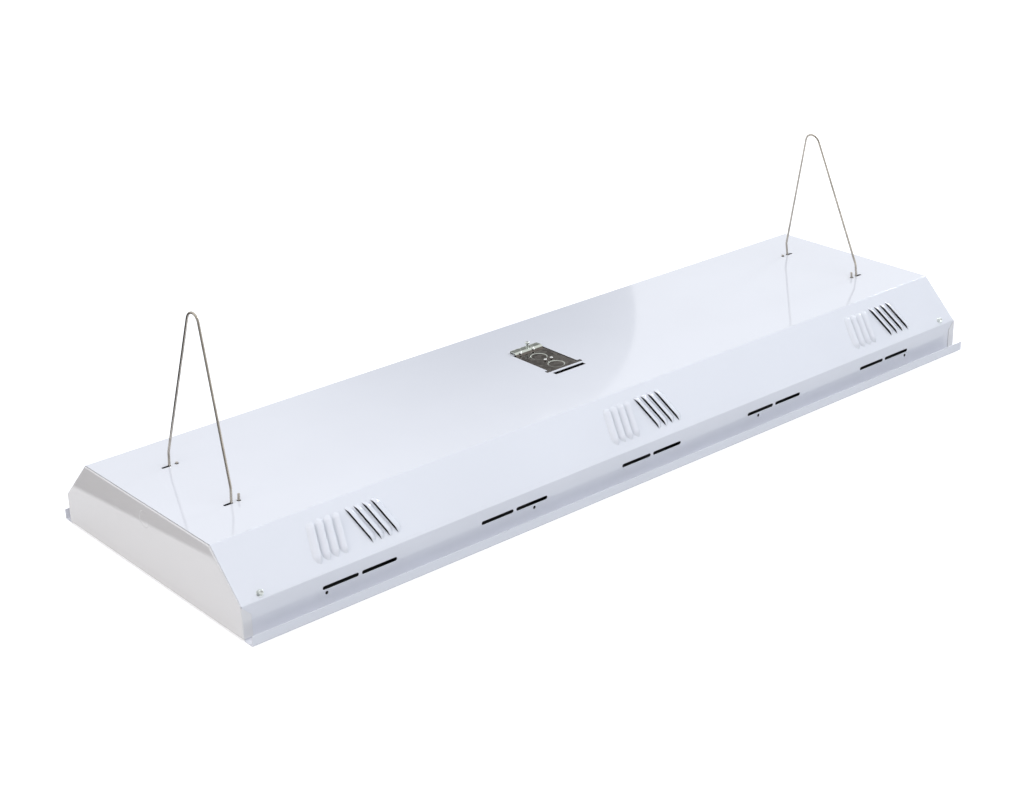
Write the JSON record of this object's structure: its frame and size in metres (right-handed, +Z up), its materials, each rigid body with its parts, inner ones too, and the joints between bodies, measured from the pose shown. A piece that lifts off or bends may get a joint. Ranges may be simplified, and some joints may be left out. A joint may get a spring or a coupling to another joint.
{
  "type": "hanging shop light",
  "caption": "Long louvred steel hood on two wire hangers, with turn-in tube lamps, bright reflectors and ballasts under it.",
  "frame": {"origin": "centre of the length and the width, on the plane that the two flanges stand on", "axes": "+X along the lamps towards the right end, +Y across towards the far side, +Z up towards the hangers"},
  "size_m": [1.219, 0.412, 0.3028],
  "materials": {
    "hood_paint": "gloss white powder paint, slightly blue",
    "cap_paint": "gloss white powder paint, warmer and greyer",
    "zinc_screws": "bright zinc plate",
    "galvanised_sheet": "dull galvanised sheet with spangle",
    "zinc_wire": "zinc-plated spring wire",
    "inner_paint": "gloss white powder paint",
    "ballast_enamel": "satin black enamel",
    "holder_plastic": "white moulded plastic",
    "reflector_metal": "bright specular aluminium",
    "lamp_glass": "opal white coated glass",
    "lamp_metal": "satin aluminium caps and pins"
  },
  "bodies": {
    "housing": {"hood": "hood_paint", "end_cap_left": "cap_paint", "end_cap_right": "cap_paint", "slope_screws": "zinc_screws", "access_cover": "galvanised_sheet", "cover_screw": "zinc_screws", "ballast_channel": "inner_paint", "four_lamp_ballast": "ballast_enamel", "two_lamp_ballast": "ballast_enamel", "ballast_screws": "zinc_screws", "socket_bar_left": "inner_paint", "socket_bar_right": "inner_paint", "lampholders_left": "holder_plastic", "lampholders_right": "holder_plastic", "reflector_near": "reflector_metal", "reflector_far": "reflector_metal", "reflector_screws": "zinc_screws"},
    "left_hanger": {"hanger_left": "zinc_wire"},
    "right_hanger": {"hanger_right": "zinc_wire"},
    "lamp_1": {"lamp_tube_1": "lamp_glass", "lamp_caps_1": "lamp_metal", "lamp_rotors_1": "holder_plastic"},
    "lamp_2": {"lamp_tube_2": "lamp_glass", "lamp_caps_2": "lamp_metal", "lamp_rotors_2": "holder_plastic"},
    "lamp_3": {"lamp_tube_3": "lamp_glass", "lamp_caps_3": "lamp_metal", "lamp_rotors_3": "holder_plastic"},
    "lamp_4": {"lamp_tube_4": "lamp_glass", "lamp_caps_4": "lamp_metal", "lamp_rotors_4": "holder_plastic"},
    "lamp_5": {"lamp_tube_5": "lamp_glass", "lamp_caps_5": "lamp_metal", "lamp_rotors_5": "holder_plastic"},
    "lamp_6": {"lamp_tube_6": "lamp_glass", "lamp_caps_6": "lamp_metal", "lamp_rotors_6": "holder_plastic"}
  },
  "joints": [
    {"name": "hanger_left_swing", "type": "hinge", "parent": "housing", "child": "left_hanger", "pos_m": [-0.526, 0, 0.0956], "axis": [0, -1, 0], "range_deg": [-34.5, 41.5]},
    {"name": "hanger_right_swing", "type": "hinge", "parent": "housing", "child": "right_hanger", "pos_m": [0.526, 0, 0.0956], "axis": [0, 1, 0], "range_deg": [-29, 47]},
    {"name": "lamp_1_turn", "type": "hinge", "parent": "housing", "child": "lamp_1", "pos_m": [0, -0.145, 0.022], "axis": [1, 0, 0], "range_deg": [0, 90]},
    {"name": "lamp_2_turn", "type": "hinge", "parent": "housing", "child": "lamp_2", "pos_m": [0, -0.087, 0.022], "axis": [1, 0, 0], "range_deg": [0, 90]},
    {"name": "lamp_3_turn", "type": "hinge", "parent": "housing", "child": "lamp_3", "pos_m": [0, -0.029, 0.022], "axis": [1, 0, 0], "range_deg": [0, 90]},
    {"name": "lamp_4_turn", "type": "hinge", "parent": "housing", "child": "lamp_4", "pos_m": [0, 0.029, 0.022], "axis": [1, 0, 0], "range_deg": [0, 90]},
    {"name": "lamp_5_turn", "type": "hinge", "parent": "housing", "child": "lamp_5", "pos_m": [0, 0.087, 0.022], "axis": [1, 0, 0], "range_deg": [0, 90]},
    {"name": "lamp_6_turn", "type": "hinge", "parent": "housing", "child": "lamp_6", "pos_m": [0, 0.145, 0.022], "axis": [1, 0, 0], "range_deg": [0, 90]}
  ]
}
